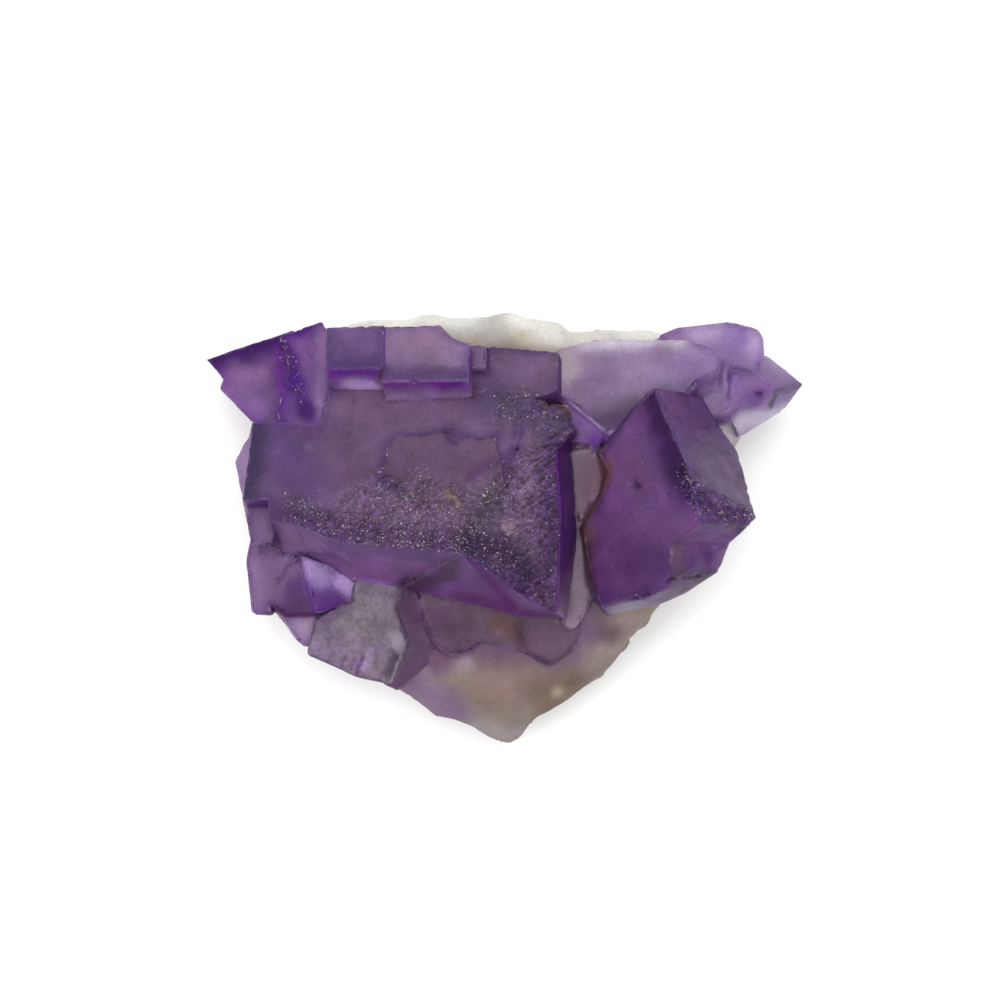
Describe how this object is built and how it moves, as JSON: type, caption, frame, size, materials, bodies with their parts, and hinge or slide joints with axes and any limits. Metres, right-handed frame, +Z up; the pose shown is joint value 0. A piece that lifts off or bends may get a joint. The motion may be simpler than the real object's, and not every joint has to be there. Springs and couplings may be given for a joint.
{
  "type": "fluorite cluster",
  "caption": "Natural cluster of purple translucent cubic fluorite crystals grown into one another on a pale broken base, lying on a flat cleavage face.",
  "frame": {"origin": "centre of the bounding box on the resting surface, under the flat cleavage face", "axes": "+X along the cluster's longest side, towards the right-hand crystals; +Y towards the side with the small cubes and the pale rim; +Z up, out of the crystal faces, away from the resting face"},
  "size_m": [0.06, 0.0432, 0.0272],
  "materials": {
    "fluorite": "translucent purple fluorite, glassy to finely etched crystal faces, pale grey-beige broken base"
  },
  "bodies": {
    "root": {"fluorite_cluster": "fluorite"}
  },
  "joints": []
}
